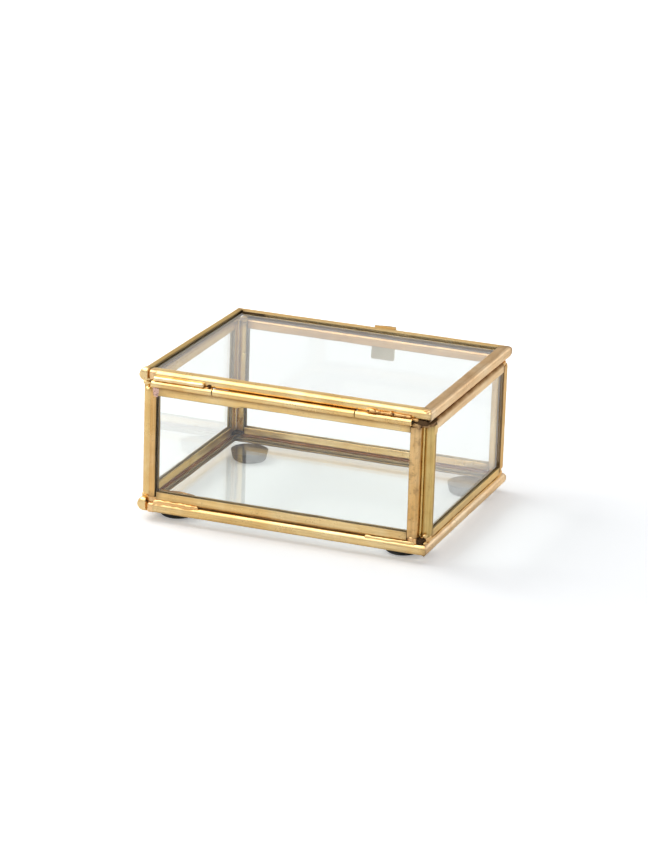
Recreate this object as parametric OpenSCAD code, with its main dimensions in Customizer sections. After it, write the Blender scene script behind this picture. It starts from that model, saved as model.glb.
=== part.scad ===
// Glass jewelry box: six panes edged with folded brass channel, a lid on a tube hinge and four rubber feet.
// +X is right as seen from the hinge, +Y points from the hinge to the lift tab, +Z is up.
// The origin lies under the middle of the box, on the surface that it stands on.

/* [Box] */
// Width of the lid and base frames along the hinge
box_w = 100; // [84:1:160]
// Depth of the lid and base frames, from hinge side to tab side
box_d = 80; // [50:1:120]
// Height of a wall with its channels
wall_h = 40; // [20:1:80]
// How far a wall stands in from the outside of the lid and base frames
wall_inset = 0.3; // [0.1:0.1:0.8]
// How far a wall stops short of the outer face of the wall round the corner
corner_step = 3.1; // [3:0.1:3.4]
// How far a wall's upright channels stop short of its upper and lower edges
post_short = 1.5; // [1.2:0.1:1.6]
// Height of the soldered space between base frame and walls
base_gap = 0.6; // [0.3:0.1:1]
// Height of the open space between walls and closed lid, on the hinge side
lid_gap = 1.3; // [1:0.1:1.6]
// How much lower the closed lid lies on the tab side
lid_drop = 0.45; // [0:0.05:0.6]

/* [Glass] */
// Thickness of a pane
glass_t = 2; // [1.8:0.1:3]
// Play between a pane and each flange that holds it
glass_play = 0.05; // [0.02:0.01:0.1]
// How far a pane's edge stays off the bends of its channel
edge_play = 0.2; // [0.1:0.05:0.4]

/* [Brass channel] */
// Thickness of the folded brass strip
brass_t = 0.6; // [0.4:0.05:0.7]
// Height of the flat between the two bends of a channel's nose
nose_flat = 0.5; // [0.3:0.1:0.8]
// Width of the lid and base channels, from nose to lips
frame_channel_w = 3.8; // [3.4:0.1:5]
// Width of the wall channels, from nose to lips
wall_channel_w = 3.4; // [3:0.1:4.6]
// Width of the lower flange of the lid's left channel, from nose to lip
lid_left_w = 3.4; // [3.2:0.1:3.8]
// Width of the upper flange of the lid's left channel, from nose to lip
lid_left_top_w = 2.9; // [2:0.1:3.2]
// How much further in the lid's left channel stands at the tab side than at the hinge side
lid_left_lean = 1; // [0:0.1:1.4]
// Width of the seam where two channels meet
seam = 0.06; // [0.02:0.01:0.12]
// Film of solder or glue between two joined pieces
film = 0.03; // [0.02:0.01:0.06]

/* [Closed corner] */
// Radius of the rounded knob that closes the hinge end of the left lid and base channels
knob_r = 2.4; // [2:0.1:2.8]
// How far the knob stands out beyond the hinge side channel
knob_proud = 0.8; // [0.4:0.1:1.2]
// Rounding of the knob's rim
knob_rim = 1.1; // [0.5:0.1:1.4]
// How far the knob stands in from the left side of the box
knob_inset = 0.7; // [0.4:0.1:1.2]
// Width of the knob, where the hinge side channel cuts it off
knob_w = 2.6; // [2:0.1:2.7]
// How far the base knob lies above the middle of its channel
base_knob_lift = 1.1; // [0:0.1:1.4]

/* [Hinge] */
// Outside diameter of the hinge tube
tube_d = 2.4; // [2.2:0.1:2.8]
// Diameter of the hinge pin
pin_d = 1.5; // [1.2:0.1:1.6]
// Running clearance between pin and bore, on the radius
pin_clearance = 0.05; // [0.02:0.01:0.09]
// Distance from the left side of the box to the hinge
hinge_left = 5; // [4.5:0.5:9]
// Distance from the right side of the box to the hinge
hinge_right = 6; // [4.5:0.5:9]
// Length of the left knuckle
left_knuckle_l = 21; // [12:1:26]
// Length of the right knuckle
right_knuckle_l = 19; // [12:1:26]
// Gap between two knuckles
knuckle_gap = 0.25; // [0.1:0.05:0.4]
// Gap between the tube and the hinge side wall
tube_wall_gap = 0.15; // [0.1:0.05:0.3]
// Gap between the tube and the lid frame
tube_lid_gap = 0.3; // [0.2:0.05:0.4]
// How far the pin stays inside each end of the tube
pin_recess = 1; // [0.2:0.1:2]
// Diameter of the packing rod between left knuckle and lid frame
left_packing_d = 1.5; // [1.2:0.1:1.7]
// Diameter of the packing rod between right knuckle and lid frame
right_packing_d = 1.1; // [1:0.1:1.7]
// Length of the left packing rod
left_packing_l = 17; // [8:1:20]
// Length of the right packing rod
right_packing_l = 13.5; // [8:0.5:18]
// Distance from the outer end of a knuckle to its packing rod
packing_start = 0.5; // [0.2:0.1:2]

/* [Filler] */
// Diameter of the wires in the four upright corners
corner_wire_d = 0.9; // [0.8:0.05:1.2]
// How far the corner wires stop below the top of the walls
corner_wire_drop = 0.8; // [0.2:0.1:2]
// Diameter of the rods between base frame and hinge side wall
filler_d = 1; // [0.8:0.1:1.4]
// Distance from the left side of the box to the left rod
left_filler_start = 5.6; // [5:0.2:9]
// Length of the left rod
left_filler_l = 16; // [8:1:30]
// Distance from the right side of the box to the right rod
right_filler_start = 4; // [3:0.2:9]
// Length of the right rod
right_filler_l = 17; // [8:1:30]

/* [Lift tab] */
// Width of the tab
tab_w = 8.2; // [5:0.2:14]
// Length of the tab, top to bottom
tab_l = 13; // [9:0.5:18]
// Thickness of the tab
tab_t = 0.9; // [0.5:0.1:1.2]
// How far the tab stands above the lid frame
tab_rise = 0.3; // [0:0.1:1]
// How far the tab sits to the right of the middle
tab_shift = 4.6; // [-20:0.2:20]
// Rounding of the tab's lower corners
tab_corner_r = 0.8; // [0.2:0.1:2]

/* [Feet] */
// Diameter of a foot
foot_d = 12.7; // [8:0.1:16]
// Height of a foot
foot_h = 3.5; // [2.8:0.1:5]
// How much smaller a foot's radius is at the bottom than at the top
foot_taper = 0.5; // [0:0.1:1]
// Rounding of a foot's lower edge
foot_edge_r = 1.3; // [0.4:0.1:1.6]
// Distance from the lips of the base channels to a foot on the hinge side
hinge_foot_clear = 0.15; // [0.1:0.05:6]
// Distance from the lips of the base channels to a foot on the tab side
tab_foot_clear = 1.4; // [0.1:0.05:6]
// How much further in from the right the right foot on the hinge side sits
hinge_right_foot_in = 1; // [0:0.1:4]
// How much further in from the left the left foot on the tab side sits
tab_left_foot_in = 0.6; // [0:0.1:4]

/* [Hidden] */
$fn = 48;

brass = "goldenrod";
glass = [0.85, 0.93, 0.93, 0.35];
rubber = [0.12, 0.12, 0.12];

// A cutting shape reaches this far past what it cuts
over = 1;

// Channel section
channel_t = glass_t + 2 * (glass_play + brass_t);
nose_r = (channel_t - nose_flat) / 2;
glass_edge = nose_r + edge_play;
knob_back = glass_edge - glass_play;
knob_l = knob_back + knob_proud;

// The lid's left channel ends where the base's does on its inner side, so its nose stands further in
lid_left_inset = frame_channel_w - lid_left_w;
lid_left_end_inset = lid_left_inset + lid_left_lean;
lid_left_turn = atan(lid_left_lean / box_d);

// Levels above the surface that the box stands on
base_mid = foot_h + film + glass_t / 2;
base_top = base_mid + channel_t / 2;
wall_foot = base_top + base_gap;
wall_mid = wall_foot + wall_h / 2;
wall_top = wall_foot + wall_h;
lid_mid = wall_top + lid_gap + channel_t / 2;
lid_top = lid_mid + channel_t / 2;

// Outer faces of the walls, and the size of each wall from nose to nose
wall_x = box_w / 2 - wall_inset;
wall_y = box_d / 2 - wall_inset;
long_wall_w = 2 * (wall_x - corner_step);
side_wall_w = 2 * (wall_y - corner_step);

// Sides of a pane, as the turn that brings a channel to each of them
near_side = 0;
right_side = 90;
far_side = 180;
left_side = 270;

// Tube hinge, seen along the hinge as [y, z]: the tube lies in the groove between two channel noses
tube_r = tube_d / 2;
lid_nose = [-box_d / 2 + nose_r, lid_mid - nose_flat / 2];
wall_nose = [-wall_y + nose_r, wall_top - nose_r];
hinge_axis = nested(wall_nose, nose_r + tube_r + tube_wall_gap, lid_nose, nose_r + tube_r + tube_lid_gap);
hinge_x0 = -box_w / 2 + hinge_left;
hinge_x1 = box_w / 2 - hinge_right;

// The tab side of the lid comes down by turning the lid about the hinge
lid_down_turn = atan(lid_drop / box_d);

// Filler rods, seen the same way: each lies in the groove between base nose and wall nose
filler_r = filler_d / 2;
base_nose = [-box_d / 2 + nose_r, base_mid + nose_flat / 2];
wall_foot_nose = [-wall_y + nose_r, wall_foot + nose_r];
filler_axis = nested(base_nose, nose_r + filler_r + film, wall_foot_nose, nose_r + filler_r + film);

// Corner wires, seen from above: each lies in the gap between the noses of two walls
wire_r = corner_wire_d / 2;
nose_to_corner = corner_step + nose_r;
far_nose_to_corner = channel_t - nose_r;
nose_span = (nose_to_corner - far_nose_to_corner) * sqrt(2);
wire_lift = sqrt(max(0, pow(nose_r + wire_r + film, 2) - pow(nose_span / 2, 2)));
wire_inset = (nose_to_corner + far_nose_to_corner) / 2 - wire_lift / sqrt(2);

// A packing rod lies against the hinge tube and the nose of the lid frame
function packing_axis(radius) =
    nested(hinge_axis, tube_r + radius + film, lid_nose, nose_r + radius + film);

// The point at distance ra from a and rb from b, on the left of the way from a to b
function nested(a, ra, b, rb) =
    let (
        gap = norm(b - a),
        way = (b - a) / gap,
        along = (ra * ra - rb * rb + gap * gap) / (2 * gap),
        out = sqrt(max(0, ra * ra - along * along))
    )
    a + along * way + out * [-way[1], way[0]];

// ---- Folded channel ----

// A bar section with the two corners at its nose rounded; the nose is at x = 0
module bent_bar(width, height, radius) {
    translate([radius, -height / 2])
        square([width - radius, height]);
    translate([0, -height / 2 + radius])
        square([width, height - 2 * radius]);
    for (side = [-1, 1])
        translate([radius, side * (height / 2 - radius)])
            circle(radius);
}

// Strip folded round the edge of a pane
module channel_section(width) {
    difference() {
        bent_bar(width, channel_t, nose_r);
        translate([brass_t, 0])
            bent_bar(width, channel_t - 2 * brass_t, nose_r - brass_t);
    }
}

// Takes off the end of a channel along the mitre, less half the seam
module mitre_cut() {
    reach = 2 * frame_channel_w + channel_t;
    translate([seam / sqrt(2), 0, 0])
        rotate([0, 0, 45])
            translate([-reach, 0, -reach / 2])
                cube([2 * reach, reach, reach]);
}

// Channel along +X with its nose towards -Y; an end is mitred or cut square
module channel(length, width, start_mitred = true, end_mitred = true) {
    difference() {
        rotate([90, 0, 90])
            linear_extrude(length)
                channel_section(width);
        if (start_mitred)
            mitre_cut();
        if (end_mitred)
            translate([length, 0, 0])
                mirror([1, 0, 0])
                    mitre_cut();
    }
}

// ---- A pane and its frame, lying flat round the origin ----

// Carries a channel that runs along +X to one side of a pane
module at_side(w, h, side) {
    across = side == near_side || side == far_side;
    rotate([0, 0, side])
        translate([-(across ? w : h) / 2, -(across ? h : w) / 2, 0])
            children();
}

module pane_glass(w, h) {
    color(glass)
        cube([w - 2 * glass_edge, h - 2 * glass_edge, glass_t], center = true);
}

module pane_channel(w, h, side, width) {
    across = side == near_side || side == far_side;
    color(brass)
        at_side(w, h, side)
            channel(across ? w : h, width);
}

// Upright channel of a wall, nearly as tall as the wall
module pane_post(w, h, side) {
    color(brass)
        at_side(w, h, side)
            translate([post_short, 0, 0])
                channel(h - 2 * post_short, wall_channel_w, start_mitred = false, end_mitred = false);
}

// Upper or lower channel of a wall, between its posts
module pane_rail(w, h, side) {
    butt = wall_channel_w + seam;
    color(brass)
        at_side(w, h, side)
            translate([butt, 0, 0])
                channel(w - 2 * butt, wall_channel_w, start_mitred = false, end_mitred = false);
}

// ---- Lid and base frames: the left channel runs through to a rounded, closed end ----

// Fills the end of a channel behind its knob
module channel_plug(width) {
    rotate([90, 0, 90])
        linear_extrude(knob_back / 2)
            bent_bar(width, channel_t, nose_r);
}

// Disc with a rounded rim that closes a channel, standing out towards +X and cut off flat on one side
module knob(inset, lift) {
    difference() {
        translate([0, inset + knob_r, lift])
            rotate([0, 90, 0])
                rotate_extrude() {
                    square([knob_r - knob_rim, knob_l]);
                    square([knob_r, knob_l - knob_rim]);
                    intersection() {
                        translate([knob_r - knob_rim, knob_l - knob_rim])
                            circle(knob_rim);
                        square([knob_r, knob_l]);
                    }
                }
        translate([-over, inset + knob_w, lift - knob_r - over])
            cube([knob_l + 2 * over, 2 * knob_r, 2 * (knob_r + over)]);
    }
}

// Starts beside the left channel, eased away from it where that channel leans
module frame_hinge_channel(lean) {
    butt = frame_channel_w + seam + lean * frame_channel_w / box_d;
    color(brass)
        at_side(box_w, box_d, near_side)
            translate([butt, 0, 0])
                channel(box_w - butt, frame_channel_w, start_mitred = false);
}

module closed_end(width, inset, lift) {
    knob(inset, lift);
    channel_plug(width);
}

module base_left_channel() {
    open_l = box_d - knob_back;
    color(brass)
        at_side(box_w, box_d, left_side) {
            channel(open_l, frame_channel_w, end_mitred = false);
            translate([open_l, 0, 0])
                closed_end(frame_channel_w, knob_inset, base_knob_lift);
        }
}

// Brings a shape that lies along the lid's left side to its leaning place; the hinge side corner stays
module at_lid_left() {
    at_side(box_w, box_d, left_side)
        translate([box_d, lid_left_inset, 0])
            rotate([0, 0, -lid_left_turn])
                translate([-box_d, 0, 0])
                    children();
}

// The upper flange is narrower than the lower one
module lid_left_channel() {
    open_l = box_d - knob_back;
    color(brass)
        at_lid_left() {
            difference() {
                channel(open_l, lid_left_w, end_mitred = false);
                translate([-over, lid_left_top_w, 0])
                    cube([box_d + 2 * over, lid_left_w, channel_t]);
            }
            translate([open_l, 0, 0])
                closed_end(lid_left_w, knob_inset - lid_left_inset, 0);
        }
}

// Mitred to the leaning left channel
module lid_tab_channel() {
    color(brass)
        at_side(box_w, box_d, far_side)
            channel(box_w - lid_left_end_inset, frame_channel_w);
}

// Its left edge leans as the left channel does
module lid_glass() {
    x0 = -box_w / 2 + lid_left_inset + glass_edge;
    x1 = box_w / 2 - glass_edge;
    y1 = box_d / 2 - glass_edge;
    color(glass)
        translate([0, 0, -glass_t / 2])
            linear_extrude(glass_t)
                polygon([[x0, -y1], [x1, -y1], [x1, y1], [x0 + lid_left_lean, y1]]);
}

module frame_channel(side) {
    pane_channel(box_w, box_d, side, frame_channel_w);
}

// ---- Places of the six panes ----

module at_base() {
    translate([0, 0, base_mid])
        children();
}

module let_down() {
    translate([0, hinge_axis[0], hinge_axis[1]])
        rotate([-lid_down_turn, 0, 0])
            translate([0, -hinge_axis[0], -hinge_axis[1]])
                children();
}

module at_lid() {
    let_down()
        translate([0, 0, lid_mid])
            children();
}

// Hinge side and tab side walls; turned up so that near_side is their bottom
module at_long_wall(dir) {
    translate([0, dir * (wall_y - channel_t / 2), wall_mid])
        rotate([90, 0, 0])
            children();
}

// Left and right walls; their right_side is towards the tab
module at_side_wall(dir) {
    translate([dir * (wall_x - channel_t / 2), 0, wall_mid])
        rotate([90, 0, 90])
            children();
}

hinge_side = -1;
tab_side = 1;
to_left = -1;
to_right = 1;

module long_wall_glass(dir) {
    at_long_wall(dir)
        pane_glass(long_wall_w, wall_h);
}

module long_wall_post(dir, side) {
    at_long_wall(dir)
        pane_post(long_wall_w, wall_h, side);
}

module long_wall_rail(dir, side) {
    at_long_wall(dir)
        pane_rail(long_wall_w, wall_h, side);
}

module side_wall_glass(dir) {
    at_side_wall(dir)
        pane_glass(side_wall_w, wall_h);
}

module side_wall_post(dir, side) {
    at_side_wall(dir)
        pane_post(side_wall_w, wall_h, side);
}

module side_wall_rail(dir, side) {
    at_side_wall(dir)
        pane_rail(side_wall_w, wall_h, side);
}

// ---- Wires and rods ----

// Wire standing on the base frame between the noses of two walls
module corner_wire(dir_x, dir_y) {
    color(brass)
        translate([dir_x * (wall_x - wire_inset), dir_y * (wall_y - wire_inset), base_top + film])
            cylinder(h = wall_top - corner_wire_drop - base_top - film, r = wire_r);
}

// Rod along the hinge from x0 to x1, with rounded ends
module rod(axis, x0, x1, radius) {
    translate([0, axis[0], axis[1]])
        rotate([0, 90, 0]) {
            translate([0, 0, x0 + radius])
                cylinder(h = x1 - x0 - 2 * radius, r = radius);
            for (x = [x0 + radius, x1 - radius])
                translate([0, 0, x])
                    sphere(radius);
        }
}

module base_left_filler_rod() {
    x0 = -box_w / 2 + left_filler_start;
    color(brass)
        rod(filler_axis, x0, x0 + left_filler_l, filler_r);
}

module base_right_filler_rod() {
    x1 = box_w / 2 - right_filler_start;
    color(brass)
        rod(filler_axis, x1 - right_filler_l, x1, filler_r);
}

module packing_rod(x0, x1, radius) {
    color(brass)
        let_down()
            rod(packing_axis(radius), x0, x1, radius);
}

module lid_left_packing_rod() {
    x0 = hinge_x0 + packing_start;
    packing_rod(x0, x0 + left_packing_l, left_packing_d / 2);
}

module lid_right_packing_rod() {
    x1 = hinge_x1 - packing_start;
    packing_rod(x1 - right_packing_l, x1, right_packing_d / 2);
}

// ---- Hinge ----

module knuckle(x0, x1) {
    color(brass)
        translate([x0, hinge_axis[0], hinge_axis[1]])
            rotate([0, 90, 0])
                difference() {
                    cylinder(h = x1 - x0, r = tube_r);
                    translate([0, 0, -over])
                        cylinder(h = x1 - x0 + 2 * over, r = pin_d / 2 + pin_clearance);
                }
}

module left_knuckle() {
    knuckle(hinge_x0, hinge_x0 + left_knuckle_l);
}

module middle_knuckle() {
    knuckle(hinge_x0 + left_knuckle_l + knuckle_gap, hinge_x1 - right_knuckle_l - knuckle_gap);
}

module right_knuckle() {
    knuckle(hinge_x1 - right_knuckle_l, hinge_x1);
}

module hinge_pin() {
    color(brass)
        translate([hinge_x0 + pin_recess, hinge_axis[0], hinge_axis[1]])
            rotate([0, 90, 0])
                cylinder(h = hinge_x1 - hinge_x0 - 2 * pin_recess, d = pin_d);
}

// ---- Lift tab ----

// Strip soldered upright on the nose of the lid's tab side channel
module lift_tab() {
    color(brass)
        let_down()
            translate([tab_shift, box_d / 2 + film, lid_top + tab_rise])
                rotate([-90, 0, 0])
                    linear_extrude(tab_t) {
                        translate([-tab_w / 2, 0])
                            square([tab_w, tab_l - tab_corner_r]);
                        translate([-tab_w / 2 + tab_corner_r, 0])
                            square([tab_w - 2 * tab_corner_r, tab_l]);
                        for (side = [-1, 1])
                            translate([side * (tab_w / 2 - tab_corner_r), tab_l - tab_corner_r])
                                circle(tab_corner_r);
                    }
}

// ---- Feet ----

// Round bumper under the base glass, narrower towards the bottom and with a rounded lower edge
module foot(dir_x, dir_y, clear, further_in) {
    foot_r = foot_d / 2;
    low_r = foot_r - foot_taper;
    foot_inset = frame_channel_w + clear + foot_r;
    color(rubber)
        translate([dir_x * (box_w / 2 - foot_inset - further_in), dir_y * (box_d / 2 - foot_inset), 0])
            rotate_extrude() {
                polygon([[0, foot_edge_r], [low_r, foot_edge_r], [foot_r, foot_h], [0, foot_h]]);
                square([low_r - foot_edge_r, foot_h]);
                translate([low_r - foot_edge_r, foot_edge_r])
                    circle(foot_edge_r);
            }
}

// ---- Nodes ----

at_base() pane_glass(box_w, box_d);  // base_glass
at_base() frame_hinge_channel(0);  // base_hinge_channel
at_base() frame_channel(far_side);  // base_tab_channel
at_base() base_left_channel();
at_base() frame_channel(right_side);  // base_right_channel

long_wall_glass(hinge_side);  // hinge_wall_glass
long_wall_rail(hinge_side, near_side);  // hinge_wall_bottom_channel
long_wall_rail(hinge_side, far_side);  // hinge_wall_top_channel
long_wall_post(hinge_side, left_side);  // hinge_wall_left_channel
long_wall_post(hinge_side, right_side);  // hinge_wall_right_channel

long_wall_glass(tab_side);  // tab_wall_glass
long_wall_rail(tab_side, near_side);  // tab_wall_bottom_channel
long_wall_rail(tab_side, far_side);  // tab_wall_top_channel
long_wall_post(tab_side, left_side);  // tab_wall_left_channel
long_wall_post(tab_side, right_side);  // tab_wall_right_channel

side_wall_glass(to_left);  // left_wall_glass
side_wall_rail(to_left, near_side);  // left_wall_bottom_channel
side_wall_rail(to_left, far_side);  // left_wall_top_channel
side_wall_post(to_left, left_side);  // left_wall_hinge_channel
side_wall_post(to_left, right_side);  // left_wall_tab_channel

side_wall_glass(to_right);  // right_wall_glass
side_wall_rail(to_right, near_side);  // right_wall_bottom_channel
side_wall_rail(to_right, far_side);  // right_wall_top_channel
side_wall_post(to_right, left_side);  // right_wall_hinge_channel
side_wall_post(to_right, right_side);  // right_wall_tab_channel

corner_wire(to_left, hinge_side);  // hinge_left_corner_wire
corner_wire(to_right, hinge_side);  // hinge_right_corner_wire
corner_wire(to_left, tab_side);  // tab_left_corner_wire
corner_wire(to_right, tab_side);  // tab_right_corner_wire
base_left_filler_rod();
base_right_filler_rod();

middle_knuckle();
hinge_pin();

foot(to_left, hinge_side, hinge_foot_clear, 0);  // hinge_left_foot
foot(to_right, hinge_side, hinge_foot_clear, hinge_right_foot_in);  // hinge_right_foot
foot(to_left, tab_side, tab_foot_clear, tab_left_foot_in);  // tab_left_foot
foot(to_right, tab_side, tab_foot_clear, 0);  // tab_right_foot

at_lid() lid_glass();
at_lid() frame_hinge_channel(lid_left_lean);  // lid_hinge_channel
at_lid() lid_tab_channel();
at_lid() lid_left_channel();
at_lid() frame_channel(right_side);  // lid_right_channel
left_knuckle();
right_knuckle();
lid_left_packing_rod();
lid_right_packing_rod();
lift_tab();
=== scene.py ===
import bpy
import math
import numpy as np
from mathutils import Matrix, Vector


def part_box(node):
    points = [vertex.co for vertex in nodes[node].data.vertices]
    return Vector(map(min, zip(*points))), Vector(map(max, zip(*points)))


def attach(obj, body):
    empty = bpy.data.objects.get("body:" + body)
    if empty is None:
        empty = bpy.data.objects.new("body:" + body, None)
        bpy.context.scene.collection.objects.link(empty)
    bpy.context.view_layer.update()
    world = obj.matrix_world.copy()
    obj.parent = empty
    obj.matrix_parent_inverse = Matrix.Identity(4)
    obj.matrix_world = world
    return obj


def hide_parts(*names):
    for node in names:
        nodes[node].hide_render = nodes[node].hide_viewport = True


# Glass jewelry box with folded brass edging, hinge at the front (-Y), lift tab at the back (+Y).
# Lengths in the dictionaries are in millimetres unless a note says otherwise.

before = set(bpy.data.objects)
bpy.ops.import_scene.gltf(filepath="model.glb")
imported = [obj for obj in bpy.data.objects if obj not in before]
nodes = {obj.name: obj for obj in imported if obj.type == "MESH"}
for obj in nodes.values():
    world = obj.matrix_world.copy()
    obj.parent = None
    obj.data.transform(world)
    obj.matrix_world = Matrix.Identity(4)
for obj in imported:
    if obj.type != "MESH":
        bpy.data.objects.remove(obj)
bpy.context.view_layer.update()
mm = 0.001
print("stage: frame loaded,", len(nodes), "nodes")


def boxMm(node):
    low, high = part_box(node)
    return np.array(low) / mm, np.array(high) / mm


def smoothStep(x):
    # Three times x squared less twice x cubed: leaves 0 and reaches 1 without a kink
    x = np.clip(x, 0.0, 1.0)
    return x * x * (3.0 - 2.0 * x)


def waver(s, seed, longest, count=5):
    # Gentle random line: a sum of sines whose wavelengths shrink from the longest, scaled to about -1..1
    rng = np.random.default_rng(seed)
    total = np.zeros_like(s, dtype=float)
    weight = 0.0
    for k in range(count):
        wave = longest / (1.0 + 0.9 * k) * rng.uniform(0.8, 1.2)
        size = 1.0 / (1.0 + 0.6 * k)
        total += size * np.sin(2 * math.pi * s / wave + rng.uniform(0, 2 * math.pi))
        weight += size
    return total / weight * 1.6


def linked(name, data):
    made = bpy.data.objects.new(name, data)
    bpy.context.scene.collection.objects.link(made)
    return made


def gridFaces(rows, columns, wrap=True):
    # Quads of a grid of rows x columns, wrapped round the columns when asked
    r = np.arange(rows - 1)[:, None]
    c = np.arange(columns if wrap else columns - 1)[None, :]
    nextC = (c + 1) % columns
    quads = np.stack([r * columns + c, r * columns + nextC,
                      (r + 1) * columns + nextC, (r + 1) * columns + c], -1)
    return quads.reshape(-1, 4)


def closedRings(verts, rows, columns):
    # Quads of a grid of rings; a middle point is added at each end and joined to its ring by triangles
    last = (rows - 1) * columns
    k = np.arange(columns)
    nextK = (k + 1) % columns
    middle = np.full(columns, rows * columns)
    fans = np.concatenate([np.stack([middle, nextK, k], -1),
                           np.stack([middle + 1, k + last, nextK + last], -1)])
    verts = np.concatenate([verts, [verts[:columns].mean(0), verts[last:].mean(0)]])
    return verts, gridFaces(rows, columns), fans


noTriangles = np.zeros((0, 3), int)


def outward(verts, quads, triangles):
    # Turns all faces round if the closed surface that they make has a negative volume
    corners = verts[np.concatenate([quads[:, [0, 1, 2]], quads[:, [0, 2, 3]], triangles])] - verts.mean(0)
    a, b, c = corners[:, 0], corners[:, 1], corners[:, 2]
    if (np.cross(b - a, c - a) * a).sum() < 0:
        return quads[:, ::-1], triangles[:, ::-1]
    return quads, triangles


def joinedShapes(name, shapes, sharp=60.0):
    # Puts closed shapes, given in millimetres, into one smooth mesh in metres. A shape is its vertices, quads
    # and triangles and one to three marks between 0 and 1: how near a joint, how deep the painted shade with
    # some tarnish in a fold is, how strong the painted shade with some brown staining between channels is
    verts, quads, triangles, offset = [], [], [], 0
    marks = {"joint": [], "inside": [], "shadeAndStain": []}
    for points, fours, threes, *values in shapes:
        fours, threes = outward(points, fours, threes)
        verts.append(points)
        quads += (fours + offset).tolist()
        triangles += (threes + offset).tolist()
        for kept, value in zip(marks.values(), (*values, 0.0, 0.0)):
            kept.append(np.broadcast_to(value, len(points)))
        offset += len(points)
    mesh = bpy.data.meshes.new(name)
    mesh.from_pydata((np.concatenate(verts) * mm).tolist(), [], quads + triangles)
    mesh.update()
    for mark, values in marks.items():
        layer = mesh.attributes.new(mark, "FLOAT", "POINT")
        layer.data.foreach_set("value", np.concatenate(values).astype(np.float32))
    mesh.polygons.foreach_set("use_smooth", np.ones(len(mesh.polygons), dtype=bool))
    mesh.set_sharp_from_angle(angle=math.radians(sharp))
    return linked(name, mesh)


# The lid is made level and then turned down a little about the hinge line
lidPlace = {
    "middle": 49.73,     # height of the lid's middle at the hinge side
    "drop": 0.45,        # how much lower the closed lid is at the tab side
    "halfDepth": 40.0,
}
pinLow, pinHigh = boxMm("hinge_pin")
hingeLine = Vector((pinLow + pinHigh) / 2 * mm)
lidDown = (Matrix.Translation(hingeLine)
           @ Matrix.Rotation(-math.atan(lidPlace["drop"] / 2 / lidPlace["halfDepth"]), 4, "X")
           @ Matrix.Translation(-hingeLine))


# Brass strip folded over the edge of a pane
strip = {
    "thick": 0.6,        # brass strip
    "depth": 3.8,        # lid and base channels, nose to lips
    "wallDepth": 3.4,    # wall channels, nose to lips
    "across": 3.3,       # outside, over both flanges
    "bend": 1.4,         # outer radius of each bend at the nose
    "lipRound": 0.18,
    "lipThin": 0.92,     # how much of its thickness the strip loses in the rounding of a lip, as a share
    "flangeSteps": 6,
    "bendSteps": 8,
    "bow": 0.05,         # how far a channel strays from straight
    "lipWaver": 0.05,    # uneven width of a flange
    "dent": 0.032,       # uneven flatness of a flange
    "bowWaves": (70.0, 55.0),    # longest waves along the strip of its bow, inwards and upwards
    "lipWaves": (38.0, 31.0),    # and of its uneven width and flatness, on the + side and the - side
    "dentWaves": (17.0, 14.0),
    "step": 0.9,         # distance between stations
    "tarnish": 3.5,      # how far the tarnish of a joint reaches along the strip
    "sharp": 38,         # degrees between faces above which an edge looks sharp
}


def foldedSection(depths):
    # Middle line of the folded strip from lip to lip, with its normal: two flats joined by two quarter
    # circles. Half the thickness goes to each side and tapers at the lips. The first depth is the + side's
    half, r, t, lipRound = strip["across"] / 2, strip["bend"], strip["thick"], strip["lipRound"]
    mid = r - t / 2
    halves = []
    for depth in depths:
        lip = np.array([depth, depth - lipRound * 0.35, depth - lipRound])
        flat = np.linspace(depth - lipRound, r, strip["flangeSteps"])[1:]
        turn = np.linspace(0, math.pi / 2, strip["bendSteps"] + 1)[1:]
        x = np.concatenate([lip, flat, r - mid * np.sin(turn)])
        y = np.concatenate([np.full(len(lip) + len(flat), half - t / 2), half - r + mid * np.cos(turn)])
        angle = np.concatenate([np.full(len(lip) + len(flat), math.pi / 2), math.pi / 2 + turn])
        edge = np.clip(1 - (depth - x) / lipRound, 0, 1)
        thin = np.sqrt(np.clip(1 - (edge * strip["lipThin"]) ** 2, 0, 1))
        halves.append((x, y, np.cos(angle), np.sin(angle), thin, edge))
    first, second = halves
    join = lambda k, sign: np.concatenate([first[k], sign * second[k][::-1]])
    line = np.stack([join(0, 1), join(1, -1)], -1)
    normal = np.stack([join(2, 1), join(3, -1)], -1)
    thin, edge = join(4, 1), join(5, 1)
    outer = line + normal * (t / 2) * thin[:, None]
    inner = line - normal * (t / 2) * thin[:, None]
    # painted shade with some tarnish: the fold's inner skin gets the full mark and the outer lips part of it,
    # darkening the lip edges and the faces within the fold
    paintedFoldShade = np.concatenate([np.clip(edge * 1.5, 0, 0.9), np.ones(len(edge))])
    section = np.concatenate([outer, inner[::-1]])
    girth = np.concatenate([[0.0], np.cumsum(np.linalg.norm(np.diff(section, axis=0), axis=1))])
    return section, len(line), paintedFoldShade, girth


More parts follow.
